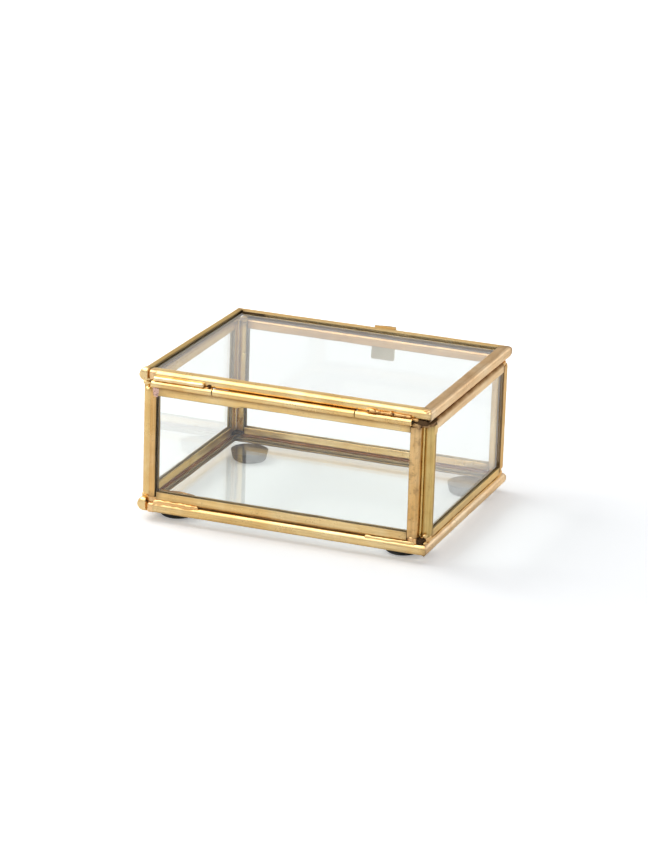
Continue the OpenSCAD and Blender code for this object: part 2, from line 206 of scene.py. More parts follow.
def foldedChannel(name, origin, along, inward, length, depths, mitres, seed, shadeAndStain, look):
    # The section is carried along a straight line; a mitred end is sheared by each point's depth,
    # then bow, uneven lips and shallow dents are added as sums of sines along the line
    section, outerCount, paintedFoldShade, girth = foldedSection(depths)
    # lipShade and foldShade scale the painted shade on the lips and within the fold
    paintedFoldShade[:outerCount] *= look.get("lipShade", 1.0)
    paintedFoldShade[outerCount:] *= look.get("foldShade", 0.85)
    d, h = section[:, 0], section[:, 1]
    stations = max(12, int(length / strip["step"]))
    start, end = d * mitres[0], length - d * mitres[1]
    s = start + (end - start) * np.linspace(0, 1, stations)[:, None]
    window = np.sin(math.pi * np.clip(s / length, 0, 1)) ** 0.5
    nearLip = smoothStep((d - strip["bend"]) / (max(depths) - strip["bend"]))
    side = np.sign(h)
    longest = strip["bowWaves"] + strip["lipWaves"] + strip["dentWaves"]
    waves = [waver(s, seed + k, wave) for k, wave in enumerate(longest)]
    bow = strip["bow"] * (1 + waves[0].clip(-1, 1)) / 2 * window
    lift = strip["bow"] * 0.5 * waves[1] * window
    lips = strip["lipWaver"] * nearLip * np.where(side > 0, waves[2], waves[3])
    dents = np.where(side > 0, waves[4], waves[5])
    dent = -strip["dent"] * nearLip * side * (0.5 + 0.5 * dents)
    if "lipStep" in look:
        wider = look["lipStep"]
        lips = lips + nearLip * wider["by"] * smoothStep((s - wider["at"]) / wider["over"])
    dd = d + bow + lips
    swell = np.where(h > 0, *look.get("thicker", (0.0, 0.0))) * h / (strip["across"] / 2)
    hh = h + swell + lift + dent
    up = np.cross(along, inward)
    points = origin + along * s[..., None] + inward * dd[..., None] + up * hh[..., None]
    count = len(d)
    k = np.arange(outerCount - 1)
    cap = np.stack([k, k + 1, count - 2 - k, count - 1 - k], -1)
    faces = np.concatenate([gridFaces(stations, count), cap[:, ::-1], cap + (stations - 1) * count])
    toEnd = np.minimum(s - start, end - s)
    # the marks: near a joint, painted fold shade, painted shade between channels with some brown staining
    marks = [np.broadcast_to(mark, s.shape).ravel()
             for mark in (np.exp(-toEnd / strip["tarnish"]), paintedFoldShade, shadeAndStain(d, h))]
    made = joinedShapes(name, [(points.reshape(-1, 3), faces, noTriangles, *marks)], strip["sharp"])
    # place on the strip: along it, and across it from lip to lip, in millimetres
    layer = made.data.attributes.new("strip", "FLOAT_VECTOR", "POINT")
    place = np.stack([s, np.broadcast_to(girth, s.shape), 0 * s + seed], -1)
    layer.data.foreach_set("vector", place.astype(np.float32).ravel())
    return made


wire = {
    "step": 0.7,             # distance between stations
    "domeSteps": 6,
    "waves": (9.0, 12.0),    # longest waves along the wire: of its radius and of the side where it bulges
}


def rodShape(start, end, radius, seed, rough, squash=(1.0, 1.0), steps=18):
    # Wire between two points: a circle carried along the line, with quarter circles for its domed ends. Its
    # radius is multiplied by 1 plus a slight waver; squash stretches it upwards and in depth
    start, end = np.asarray(start, float), np.asarray(end, float)
    length = np.linalg.norm(end - start)
    along = (end - start) / length
    across = np.array([0, 0, 1.0]) if abs(along[2]) < 0.9 else np.array([0, 1.0, 0])
    other = np.cross(along, across)
    dome = np.linspace(0, math.pi / 2, wire["domeSteps"])
    stations = max(4, int(length / wire["step"]))
    x = np.concatenate([radius * (1 - np.cos(dome)), np.linspace(radius, length - radius, stations)[1:-1],
                        length - radius + radius * np.sin(dome)])
    shape = np.maximum(np.concatenate([np.sin(dome), np.ones(stations - 2), np.cos(dome)]), 0.02)
    a = np.linspace(0, 2 * math.pi, steps, endpoint=False)
    r = radius * shape * (1 + rough * waver(x, seed, wire["waves"][0]))
    lump = 1 + rough * np.sin(2 * a + waver(x, seed + 7, wire["waves"][1])[:, None] * 3)
    ring = np.cos(a)[:, None] * across * squash[0] + np.sin(a)[:, None] * other * squash[1]
    points = start + along * x[:, None, None] + ring * (r[:, None] * lump)[..., None]
    return closedRings(points.reshape(-1, 3), len(x), steps)


def beadShape(centre, radii, seed, lumps, square, rows=16, columns=28):
    # Solder bead: a ball whose radius is 1 plus a few sines round it and from pole to pole, stretched by
    # three radii. Its sines and cosines are raised to the squareness, which below 1 pulls it to a block
    down, turn = np.meshgrid(np.linspace(0, math.pi, rows + 2)[1:-1],
                             np.linspace(0, 2 * math.pi, columns, endpoint=False), indexing="ij")
    p = np.random.default_rng(seed).uniform(0, 2 * math.pi, 6)
    r = 1 + lumps * np.sin(down) * (np.sin(2 * turn + p[0]) + 0.7 * np.sin(3 * turn + p[1]) * np.sin(down)
                                    + 0.6 * np.sin(3 * down + p[2]))
    pull = lambda c: np.sign(c) * np.abs(c) ** square
    out = pull(np.sin(down))
    ball = np.stack([out * pull(np.cos(turn)), out * pull(np.sin(turn)), pull(np.cos(down))], -1)
    points = ball * r[..., None] * np.asarray(radii) + np.asarray(centre)
    verts, faces, fans = closedRings(points.reshape(-1, 3), rows, columns)
    verts[-2:] = np.asarray(centre) + np.array([[0, 0, radii[2]], [0, 0, -radii[2]]])
    return verts, faces, fans


cameraPlace = {
    "azimuth": 20.543,      # degrees to the right of straight on
    "elevation": 18.464,
    "roll": 1.885,
    "distance": 1260.5,
    "target": (0.0, 0.0, 27.15),
    "lens": 159.95,
    "sensor": 36.0,         # long side
    "shift": (-0.002387, -0.006308),
    "clip": (0.05, 20.0),   # metres
}

az, el, roll = (math.radians(cameraPlace[key]) for key in ("azimuth", "elevation", "roll"))
back = Vector((math.sin(az) * math.cos(el), -math.cos(az) * math.cos(el), math.sin(el)))
rightWay = Vector((math.cos(az), math.sin(az), 0.0))
upWay = rightWay.cross(-back)
rolledRight = rightWay * math.cos(roll) + upWay * math.sin(roll)
rolledUp = -rightWay * math.sin(roll) + upWay * math.cos(roll)
camData = bpy.data.cameras.new("camera")
camData.lens = cameraPlace["lens"]
camData.sensor_width = cameraPlace["sensor"]
camData.shift_x, camData.shift_y = cameraPlace["shift"]
camData.clip_start, camData.clip_end = cameraPlace["clip"]
cam = linked("camera", camData)
turn = Matrix((rolledRight, rolledUp, back)).transposed().to_4x4()
standing = Vector(cameraPlace["target"]) * mm + back * cameraPlace["distance"] * mm
cam.matrix_world = Matrix.Translation(standing) @ turn
bpy.context.scene.camera = cam
print("stage: camera placed")


def newMaterial(name):
    material = bpy.data.materials.new(name)
    material.use_nodes = True
    tree = material.node_tree
    tree.nodes.clear()
    return material, tree


def addNode(tree, kind, inputs=None, **settings):
    made = tree.nodes.new(kind)
    for key, value in settings.items():
        setattr(made, key, value)
    for key, value in (inputs or {}).items():
        made.inputs[key].default_value = value
    return made


def ramp(tree, source, stops):
    # Colour ramp; stops are (position, colour) pairs
    made = tree.nodes.new("ShaderNodeValToRGB")
    made.color_ramp.interpolation = "EASE"
    elements = made.color_ramp.elements
    while len(elements) < len(stops):
        elements.new(0.5)
    for element, (position, colour) in zip(elements, stops):
        element.position = position
        element.color = (*colour, 1.0)
    tree.links.new(source, made.inputs[0])
    return made.outputs[0]


def grey(tree, source, low, high):
    # Black below low, white above high
    return ramp(tree, source, [(low, (0, 0, 0)), (high, (1, 1, 1))])


def rise(tree, source, begin, end, low=0.0, high=1.0):
    # Goes smoothly from low to high while the source goes from begin to end
    limits = {"From Min": begin, "From Max": end, "To Min": low, "To Max": high}
    made = addNode(tree, "ShaderNodeMapRange", limits, clamp=True, interpolation_type="SMOOTHSTEP")
    tree.links.new(source, made.inputs["Value"])
    return made.outputs[0]


def noise(tree, coords, scale, detail=3.0, roughness=0.55, stretch=None):
    if stretch is not None:
        mapping = addNode(tree, "ShaderNodeMapping", {"Scale": stretch})
        tree.links.new(coords, mapping.inputs["Vector"])
        coords = mapping.outputs[0]
    made = addNode(tree, "ShaderNodeTexNoise", {"Scale": scale, "Detail": detail, "Roughness": roughness})
    tree.links.new(coords, made.inputs["Vector"])
    return made.outputs["Fac"]


def mathNode(tree, operation, a, b, clamp=False):
    made = addNode(tree, "ShaderNodeMath", operation=operation, use_clamp=clamp)
    for index, value in enumerate((a, b)):
        if isinstance(value, (int, float)):
            made.inputs[index].default_value = value
        else:
            tree.links.new(value, made.inputs[index])
    return made.outputs[0]


def times(tree, a, b, clamp=False):
    return mathNode(tree, "MULTIPLY", a, b, clamp)


def plus(tree, a, b):
    return mathNode(tree, "ADD", a, b)


def mixColour(tree, factor, a, b):
    made = addNode(tree, "ShaderNodeMix", data_type="RGBA")
    for index, value in ((0, factor), (6, a), (7, b)):
        if isinstance(value, tuple):
            made.inputs[index].default_value = (*value, 1.0)
        else:
            tree.links.new(value, made.inputs[index])
    return made.outputs[2]


def mixShader(tree, factor, a, b):
    made = addNode(tree, "ShaderNodeMixShader")
    for index, value in enumerate((factor, a.outputs[0], b.outputs[0])):
        tree.links.new(value, made.inputs[index])
    return made


def attribute(tree, name):
    return addNode(tree, "ShaderNodeAttribute", attribute_name=name)


def bumpFrom(tree, shader, height, strength, distance):
    bump = addNode(tree, "ShaderNodeBump", {"Strength": strength, "Distance": distance})
    tree.links.new(height, bump.inputs["Height"])
    tree.links.new(bump.outputs[0], shader.inputs["Normal"])


def outputFrom(tree, shader, kind="ShaderNodeOutputMaterial"):
    tree.links.new(shader.outputs[0], addNode(tree, kind).inputs[0])


brassLook = {
    # base colour and the two colours it drifts to in patches
    "gold": ((0.84, 0.57, 0.235), (0.89, 0.67, 0.34), (0.75, 0.46, 0.165)),
    "pale": ((0.89, 0.66, 0.34), (0.92, 0.74, 0.46), (0.82, 0.54, 0.23)),
    "rosy": ((0.90, 0.55, 0.23), (0.93, 0.63, 0.33), (0.78, 0.42, 0.15)),
    "amber": ((0.76, 0.46, 0.17), (0.82, 0.55, 0.26), (0.64, 0.36, 0.12)),
    "olive": ((0.70, 0.48, 0.165), (0.76, 0.56, 0.22), (0.60, 0.37, 0.115)),
    "pink": ((0.80, 0.52, 0.42), (0.88, 0.66, 0.58), (0.55, 0.30, 0.26)),
    "char": ((0.055, 0.035, 0.022), (0.15, 0.09, 0.045), (0.035, 0.023, 0.016)),
    "tan": ((0.62, 0.54, 0.37), (0.72, 0.62, 0.48), (0.52, 0.42, 0.26)),
    # paler, pinker copy of the gold for the right-facing channels: painted reflection of the light those
    # faces catch
    "rightSideLit": ((0.93, 0.66, 0.40), (0.97, 0.77, 0.54), (0.80, 0.50, 0.27)),
    "brown": ((0.30, 0.125, 0.035), (0.42, 0.20, 0.06), (0.20, 0.08, 0.025)),
    "deep": ((0.13, 0.042, 0.008), (0.20, 0.07, 0.015), (0.08, 0.025, 0.006)),
    "burnt": (0.17, 0.085, 0.045),
    # brown of the specks, and of the painted shade between facing channels
    "shadeAndStain": (0.27, 0.14, 0.055),
    # dark colour of the painted shade within the folds, on the lips and in the bore, with some tarnish
    "inside": (0.18, 0.137, 0.078),
    "edge": (1.0, 0.87, 0.65),    # colour of the metal at a low angle
    "roughness": (0.22, 0.36),
    "coatRoughness": 0.15,
    "bump": (0.2, 0.0004),        # strength, and height in metres
    "streaks": 0.42,              # how strongly each of the next four shows
    "streakDark": 0.55,
    "deepPatches": 0.6,
    "paleGrainAndHighlight": 0.5,
    "specks": 0.55,
    "drawn": (0.05, 1.1, 1.0),    # waves to the millimetre along and across the strip
    "drawnPale": (0.035, 1.7, 2.3),
}


def wornBrass(name, tone="gold", tarnish=0.5, extra=0.0, mottle=0.0, dull=0.0, spotScale=420.0,
              spotColour=brassLook["burnt"], edge=brassLook["edge"], coat=0.05):
    # Satin brass: broad patches of paler and of redder or greener metal, drawn streaks along each strip,
    # paler lines that are partly painted highlight, burnt colour by the soldered joints, painted shade with
    # some brown staining where two channels face, painted shade with some tarnish within the folds
    material, tree = newMaterial(name)
    base, light, deep = brassLook[tone]
    coords = addNode(tree, "ShaderNodeTexCoord").outputs["Object"]
    strips = attribute(tree, "strip").outputs["Vector"]
    middle = noise(tree, coords, 210.0, 4.0, 0.6)
    fine = noise(tree, coords, 1300.0, 3.0, 0.6)
    colour = mixColour(tree, grey(tree, noise(tree, coords, 60.0), 0.40, 0.66), base, light)
    deepPart = grey(tree, noise(tree, coords, 110.0), 0.46, 0.70)
    colour = mixColour(tree, times(tree, deepPart, brassLook["deepPatches"]), colour, deep)
    streaks = grey(tree, noise(tree, strips, 1.0, 4.0, 0.6, brassLook["drawn"]), 0.42, 0.72)
    streakColour = tuple(c * brassLook["streakDark"] for c in deep)
    colour = mixColour(tree, times(tree, streaks, brassLook["streaks"]), colour, streakColour)
    # paler lines along the strip: drawn grain, and painted highlight streaks along the rails
    paleGrainAndHighlight = grey(tree, noise(tree, strips, 1.0, 3.0, 0.6, brassLook["drawnPale"]), 0.52, 0.70)
    colour = mixColour(tree, times(tree, paleGrainAndHighlight, brassLook["paleGrainAndHighlight"]), colour, light)
    specks = times(tree, grey(tree, noise(tree, coords, 2300.0, 3.0, 0.7), 0.55, 0.68),
                   grey(tree, noise(tree, coords, 260.0), 0.45, 0.62))
    colour = mixColour(tree, times(tree, specks, brassLook["specks"]), colour, brassLook["shadeAndStain"])
    broken = times(tree, plus(tree, middle, 0.15), plus(tree, attribute(tree, "joint").outputs["Fac"], extra))
    burnt = times(tree, grey(tree, broken, 0.30, 0.75), tarnish)
    if mottle:
        spots = grey(tree, noise(tree, coords, spotScale, 4.0, 0.65), 0.50, 0.68)
        burnt = mathNode(tree, "MAXIMUM", burnt, times(tree, spots, mottle))
    colour = mixColour(tree, burnt, colour, spotColour)
    # painted shade, with some brown staining, where two channels face
    shadeAndStain = times(tree, attribute(tree, "shadeAndStain").outputs["Fac"], plus(tree, middle, 0.5), clamp=True)
    colour = mixColour(tree, shadeAndStain, colour, brassLook["shadeAndStain"])
    # painted shade within the folds, on the lips and in the bore, with some tarnish; it is also made rougher
    paintedFoldShade = attribute(tree, "inside").outputs["Fac"]
    colour = mixColour(tree, paintedFoldShade, colour, brassLook["inside"])
    shader = addNode(tree, "ShaderNodeBsdfPrincipled", {
        "Metallic": 1.0, "Specular Tint": (*edge, 1.0), "Coat Weight": coat,
        "Coat Roughness": brassLook["coatRoughness"]})
    tree.links.new(colour, shader.inputs["Base Color"])
    low, high = brassLook["roughness"]
    rough = plus(tree, times(tree, middle, high - low), low + dull)
    rough = plus(tree, rough, times(tree, plus(tree, shadeAndStain, burnt), 0.12))
    rough = plus(tree, rough, times(tree, paintedFoldShade, 0.2))
    tree.links.new(rough, shader.inputs["Roughness"])
    bumpFrom(tree, shader, plus(tree, times(tree, middle, 0.7), times(tree, fine, 0.12)), *brassLook["bump"])
    outputFrom(tree, shader)
    return material


glassLook = {
    "tint": (0.965, 0.98, 0.965),
    "ior": 1.5,
    "shade": (0.945, 0.955, 0.95),   # what lamps pass on through each face of a pane
}


def clearGlass(name):
    # Float glass; lamp light and bounced light pass straight through it
    material, tree = newMaterial(name)
    shader = addNode(tree, "ShaderNodeBsdfPrincipled", {
        "Base Color": (*glassLook["tint"], 1.0), "Roughness": 0.0, "IOR": glassLook["ior"],
        "Transmission Weight": 1.0})
    clear = addNode(tree, "ShaderNodeBsdfTransparent", {"Color": (*glassLook["shade"], 1.0)})
    path = addNode(tree, "ShaderNodeLightPath")
    through = mathNode(tree, "MAXIMUM", path.outputs["Is Shadow Ray"], path.outputs["Is Diffuse Ray"])
    outputFrom(tree, mixShader(tree, through, shader, clear))
    return material


rubberLook = {
    "black": (0.012, 0.012, 0.012),
    "bloom": (0.035, 0.034, 0.033),
    "roughness": 0.6,
    "bump": (0.25, 0.0002),
}


def dullRubber(name):
    # Moulded rubber with a faint bloom and a fine grain
    material, tree = newMaterial(name)
    coords = addNode(tree, "ShaderNodeTexCoord").outputs["Object"]
    patches = noise(tree, coords, 160.0)
    colour = ramp(tree, patches, [(0.35, rubberLook["black"]), (0.75, rubberLook["bloom"])])
    shader = addNode(tree, "ShaderNodeBsdfPrincipled", {"Roughness": rubberLook["roughness"]})
    tree.links.new(colour, shader.inputs["Base Color"])
    bumpFrom(tree, shader, noise(tree, coords, 900.0), *rubberLook["bump"])
    outputFrom(tree, shader)
    return material


finishes = {
    "brass": wornBrass("wornBrass"),
    "paleBrass": wornBrass("paleBrass", tone="pale"),
    "rosyBrass": wornBrass("rosyBrass", tone="rosy"),
    "amberBrass": wornBrass("amberBrass", tone="amber"),
    "amberDull": wornBrass("amberDull", tone="amber", dull=0.3, mottle=0.5),
    "mottledBrass": wornBrass("mottledBrass", tone="amber", mottle=0.4),
    "oliveBrass": wornBrass("oliveBrass", tone="olive"),
    # painted light: the paler, pinker brass of the right-facing channels
    "rightSideLitBrass": wornBrass("rightSideLitBrass", tone="rightSideLit"),
    "tanBrass": wornBrass("tanBrass", tone="tan", dull=0.1),
    "solder": wornBrass("solderedBrass", tarnish=0.6, extra=0.1, dull=0.05),
    "rosySolder": wornBrass("rosySolder", tone="rosy", tarnish=0.7, extra=0.2, mottle=0.25),
    "burntSolder": wornBrass("burntSolder", tone="amber", tarnish=0.95, extra=0.6, mottle=0.9, dull=0.1),
    "speckled": wornBrass("speckledSolder", tone="pink", tarnish=0.4, mottle=0.9, dull=0.1,
                          spotScale=1500.0, spotColour=(0.10, 0.055, 0.075)),
    # near-black finish: char on the pits and the pin, painted shade on the lumps that fill gaps and hollows
    "charredAndShade": wornBrass("charredSolderAndShade", tone="char", tarnish=0.3, mottle=0.4, dull=0.42,
                         edge=(0.35, 0.25, 0.16), coat=0.0),
    # brown and very dark finishes for the rods that fill gaps as painted shade
    "brownGapShade": wornBrass("brownGapShade", tone="brown", tarnish=0.3, dull=0.35,
                             edge=(0.5, 0.3, 0.12), coat=0.0),
    "deepGapShade": wornBrass("deepGapShade", tone="deep", tarnish=0.3, dull=0.45,
                            edge=(0.25, 0.11, 0.03), coat=0.0),
    "glass": clearGlass("floatGlass"),
    "rubber": dullRubber("bumperRubber"),
}


def dress(piece, finish, body, slotName, *replaced):
    # Gives a piece its finish, its body and the nodes that it stands for; the slot name is not used
    if body == "lid":
        piece.data.transform(lidDown)
    piece.data.materials.clear()
    piece.data.materials.append(finishes[finish])
    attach(piece, body)
    if replaced:
        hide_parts(*replaced)


for name, node in nodes.items():
    kind = "glass" if name.endswith("glass") else "rubber" if name.endswith("foot") else "brass"
    if name == "hinge_pin":
        kind = "charredAndShade"
    for place in node.material_slots:
        place.material = finishes[kind]
print("stage: materials made")


# The brass edging of the six panes
edging = {
    # pane: body, its two directions, the channels round it, and which side of the fold faces outwards
    "lid": ("lid", (1, 0, 0), (0, 1, 0), ("hinge", "right", "tab", "left"), 1),
    "base": ("box", (1, 0, 0), (0, 1, 0), ("hinge", "right", "tab", "left"), 1),
    "hinge_wall": ("box", (1, 0, 0), (0, 0, 1), ("bottom", "right", "top", "left"), 1),
    "tab_wall": ("box", (1, 0, 0), (0, 0, 1), ("bottom", "right", "top", "left"), -1),
    "left_wall": ("box", (0, 1, 0), (0, 0, 1), ("bottom", "tab", "top", "hinge"), -1),
    "right_wall": ("box", (0, 1, 0), (0, 0, 1), ("bottom", "tab", "top", "hinge"), 1),
}
channelLook = {
    # finish; trim: how much the outer and inner flanges are narrower than the strip; thicker: how much the
    # upper and lower flanges stand further out; lipStep: from where on and how much wider the flanges are;
    # innerShade, underShade: how strong the painted shade is there; topShadeAndStain: painted shade with some
    # brown staining on the top flange; lipStain: how brown the lips are; noseShade: painted shade by the
    # nose, with how far from the nose it reaches and over what length it fades; lipShade, foldShade: how dark
    # the painted shade of the lips and within the fold is
    "lid_hinge_channel": {"foldShade": 1.0},
    "lid_left_channel": {"finish": "oliveBrass", "topShadeAndStain": 0.25},
    "lid_tab_channel": {"foldShade": 0.6},
    "lid_right_channel": {"finish": "rightSideLitBrass", "thicker": (0.0, 0.85), "underShade": 0.5, "topShadeAndStain": 0.5},
    "base_hinge_channel": {"thicker": (0.4, 0.0)},
    "base_right_channel": {"finish": "rightSideLitBrass", "thicker": (0.3, 0.3)},
    "base_tab_channel": {"topShadeAndStain": 0.1, "foldShade": 0.5},
    "base_left_channel": {"topShadeAndStain": 0.2, "foldShade": 0.6},
    "hinge_wall_right_channel": {"finish": "mottledBrass", "noseShade": (0.1, 0.6, 0.5)},
    "hinge_wall_left_channel": {"finish": "amberBrass", "trim": (0.55, 0.0), "foldShade": 0.7},
    "hinge_wall_top_channel": {"noseShade": (0.6, 2.2, 0.9),
                               "lipStep": {"at": 57.5, "over": 1.2, "by": 0.45}},
    "hinge_wall_bottom_channel": {"noseShade": (0.8, 1.1, 0.7)},
    "right_wall_hinge_channel": {"finish": "oliveBrass", "trim": (-0.45, 0.0), "lipStain": 0.6},
    "right_wall_top_channel": {"finish": "rightSideLitBrass", "noseShade": (0.9, 1.4, 0.9)},
    "right_wall_tab_channel": {"finish": "amberBrass", "trim": (0.3, 0.0), "lipStain": 0.9, "foldShade": 0.3},
    "tab_wall_top_channel": {"finish": "rosyBrass", "innerShade": 0.3},
    "tab_wall_bottom_channel": {"trim": (0.5, 0.5), "lipShade": 0.5, "foldShade": 0.6,
                                "noseShade": (0.7, 0.6, 0.5)},
    "tab_wall_left_channel": {"finish": "oliveBrass", "trim": (0.0, 0.35), "noseShade": (0.0, 0.5, 0.4)},
    "left_wall_tab_channel": {"finish": "oliveBrass", "noseShade": (0.0, 0.5, 0.4), "foldShade": 0.7},
    "left_wall_top_channel": {"finish": "oliveBrass", "innerShade": 0.3},
    "left_wall_bottom_channel": {"finish": "oliveBrass", "innerShade": 0.1, "lipShade": 0.5},
    "left_wall_hinge_channel": {"foldShade": 0.7},
}
lidLeftDepths = (2.9, 3.4)   # upper and lower flange of the lid's left channel
knob = {
    # rounded end that closes the left lid and base channels
    "back": 1.55,        # how far it reaches into the channel
    "proud": 0.8,        # how far it stands out in front of the channel
    "radius": 2.4,
    "rim": 1.5,          # rounding of its rim, across and along
    "rimDepth": 1.3,
    "middle": -47.5,     # along X
    "width": 3.3,
    "gap": 0.05,
    "tips": (0.3, 0.25),      # radius where it closes at the back and on its face
    "lumps": (0.02, 0.012),   # unevenness in three and in five waves round it, as a share of the radius
    "steps": 48,
}
lidSpan = {
    # along Y, before the lid is turned down
    "hinge": (-40.0, -36.2), "tab": (36.2, 40.0),
    "right": (-40.0, 40.0), "left": (-40.0 + knob["back"], 40.0),
}
shadeAndStainStart = {
    # where the painted shade and brown staining begins, by depth from the nose or by height from the middle,
    # and over what length it rises
    "inner": (0.6, 0.5), "lip": (2.3, 0.8), "top": (1.3, 0.3), "pastNose": (0.7, 0.5), "under": (1.25, 0.35),
}
# usual strength of the painted shade where a channel gives none of its own
usualShade = {
    "lid": 0.0, "base": 0.35, "under": 0.85,
    "level": (0.85, 0.75, 0.55), "upright": (0.15, 0.5, 0.4),
}


def rising(x, where):
    # Smooth step from 0 where the painted shade begins to 1 where it is full
    begin, over = shadeAndStainStart[where]
    return smoothStep((x - begin) / over)


def facingShadeAndStain(pane, side, out, look):
    # Painted shade, with some brown staining, on the faces that look at the next channel: the largest of a
    # few smooth steps in depth and height, each times its own strength
    def frameShadeAndStain(d, h):
        top = look.get("topShadeAndStain", usualShade[pane]) * rising(h, "top") * rising(d, "pastNose")
        under = look.get("underShade", usualShade["under"]) * rising(-h, "under")
        return np.maximum(under, top) if pane == "lid" else top

    def wallShadeAndStain(d, h):
        usual = usualShade["level" if side in ("top", "bottom") else "upright"]
        full, reach, over = look.get("noseShade", usual)
        inner = look.get("innerShade", 0.0) * rising(-out * h, "inner")
        lip = look.get("lipStain", 0.0) * rising(d, "lip")
        return np.maximum.reduce([full * smoothStep((reach - d) / over), inner, lip])

    return frameShadeAndStain if pane in ("lid", "base") else wallShadeAndStain


seed = 100
for pane, (body, u, v, sides, out) in edging.items():
    u, v = np.array(u, float), np.array(v, float)
    isFrame = pane in ("lid", "base")
    for side, (along, inward) in zip(sides, ((u, v), (v, -u), (-u, -v), (-v, u))):
        node = f"{pane}_{side}_channel"
        look = channelLook.get(node, {})
        low, high = boxMm(node)
        if isFrame and side == "left":
            # the folded part ends where the knob's back is
            low[1] += knob["back"] + knob["proud"]
            low[2], high[2] = (box[2] for box in boxMm(f"{pane}_right_channel"))
        if pane == "lid":
            low[1], high[1] = lidSpan[side]
            low[2] = high[2] = lidPlace["middle"]
        width = strip["depth"] if isFrame else strip["wallDepth"]
        depths = width - np.array(look.get("trim", (0.0, 0.0))[::out])
        start = np.where(along + inward > 0, low, high)
        origin = np.where(np.abs(along + inward) > 0.5, start, (low + high) / 2)
        length = abs((high - low) @ along)
        if node == "lid_left_channel":
            # leans: from where the tab side channel ends to the outer edge of its own hinge end
            origin = np.array([boxMm("lid_tab_channel")[0][0], high[1], origin[2]])
            foot = np.array([low[0], low[1], origin[2]])
            along = (foot - origin) / np.linalg.norm(foot - origin)
            inward = np.cross(np.array([0, 0, 1.0]), along)
            depths = lidLeftDepths
        mitres = (isFrame and side != "hinge", isFrame and side != "left")
        shadeAndStain = facingShadeAndStain(pane, side, out, look)
        piece = foldedChannel(node + "_folded", origin, along, inward, length,
                              depths, mitres, seed, shadeAndStain, look)
        dress(piece, look.get("finish", "brass"), body, "brass", node)
        seed += 10
print("stage: folded channels made")


# How near to a joint each kind of piece counts as being, from 0 to 1: the nearer, the more tarnished
tarnished = {"knob": 0.1, "tube": 0.12, "rod": 0.2, "cornerWire": 0.3, "seam": 0.1, "tab": 0.1, "bead": 0.35}

for pane, body in (("lid", "lid"), ("base", "box")):
    top = boxMm(f"{pane}_left_channel")[1][2]
    midZ = lidPlace["middle"] if pane == "lid" else top - knob["radius"] - knob["gap"]
    back = -lidPlace["halfDepth"] + knob["back"] + knob["gap"]
    total = knob["back"] + knob["proud"]
    # circles carried along Y; a quarter ellipse rounds the rim over most of the face, both ends are closed
    arc = np.linspace(0, math.pi / 2, 12)
    rimStart = total - knob["rimDepth"] - knob["gap"]
    reach = np.concatenate([[0.0, 0.0], rimStart + knob["rimDepth"] * np.sin(arc), [total - 0.02]])
    face = knob["radius"] - knob["rim"]
    backTip, faceTip = knob["tips"]
    radius = np.concatenate([[backTip, knob["radius"]], face + knob["rim"] * np.cos(arc), [faceTip]])
    a = np.linspace(0, 2 * math.pi, knob["steps"], endpoint=False)
    three, five = knob["lumps"]
    r = radius[:, None] * (1 - three * (1 + np.sin(3 * a + 0.7)) - five * (1 + np.sin(5 * a)))
    x = np.minimum(np.cos(a) * r, knob["width"] - knob["radius"])
    y = back - np.broadcast_to(reach[:, None], x.shape)
    points = np.stack([knob["middle"] + x, y, midZ + np.sin(a) * r], -1)
    shape = (*closedRings(points.reshape(-1, 3), len(reach), knob["steps"]), tarnished["knob"])
    dress(joinedShapes(f"{pane}_left_knob", [shape]), "brass", body, "brass")
print("stage: knobs made")


# Hinge: three knuckles turned as tubes
tube = {
    "outer": 1.194, "bore": 0.8, "edge": 0.14,
    "boreEdge": 0.05,    # how much the bore opens at its two ends
    "waver": 0.012,      # unevenness of the outside, as a share of the radius
    "steps": 40, "stations": 40,
}


def tubeShape(low, high, seed):
    # Ring section turned round the hinge line: outside with rounded edges, then back through the bore
    (x0, x1), axisY, axisZ = (low[0], high[0]), (low[1] + high[1]) / 2, (low[2] + high[2]) / 2
    outer, bore, e, mouth = tube["outer"], tube["bore"], tube["edge"], tube["boreEdge"]
    arc = np.linspace(0, math.pi / 2, 4)
    straight = np.linspace(x0 + e, x1 - e, tube["stations"])[1:-1]
    outX = np.concatenate([x0 + e * (1 - np.sin(arc[::-1])), straight, x1 - e * (1 - np.sin(arc))])
    outR = np.concatenate([outer - e + e * np.cos(arc[::-1]), np.full(len(straight), outer),
                           outer - e + e * np.cos(arc)])
    uneven = np.minimum(1 + tube["waver"] * waver(outX, seed, 24.0), 1.0)
    x = np.concatenate([outX, [x1, x1 - mouth, x0 + mouth, x0]])[:, None]
    r = np.concatenate([outR * uneven, [bore + mouth, bore, bore, bore + mouth]])[:, None]
    a = np.linspace(0, 2 * math.pi, tube["steps"], endpoint=False)
    rows, columns = len(x), len(a)
    points = np.stack([np.broadcast_to(x, (rows, columns)), axisY + r * np.cos(a), axisZ + r * np.sin(a)], -1)
    # the bore gets the full fold mark, which paints it dark as shade
    inBore = np.repeat(np.arange(rows) >= len(outX), columns).astype(float)
    faces = gridFaces(rows + 1, columns) % (rows * columns)   # the last ring joins the first again
    return points.reshape(-1, 3), faces, noTriangles, tarnished["tube"], inBore


for tubeSeed, (side, body) in enumerate((("left", "lid"), ("middle", "box"), ("right", "lid")), 31):
    node = side + "_knuckle"
    shape = tubeShape(*boxMm(node), tubeSeed)
    dress(joinedShapes(node + "_tube", [shape], sharp=35), "brass", body, "brass", node)
print("stage: hinge made")


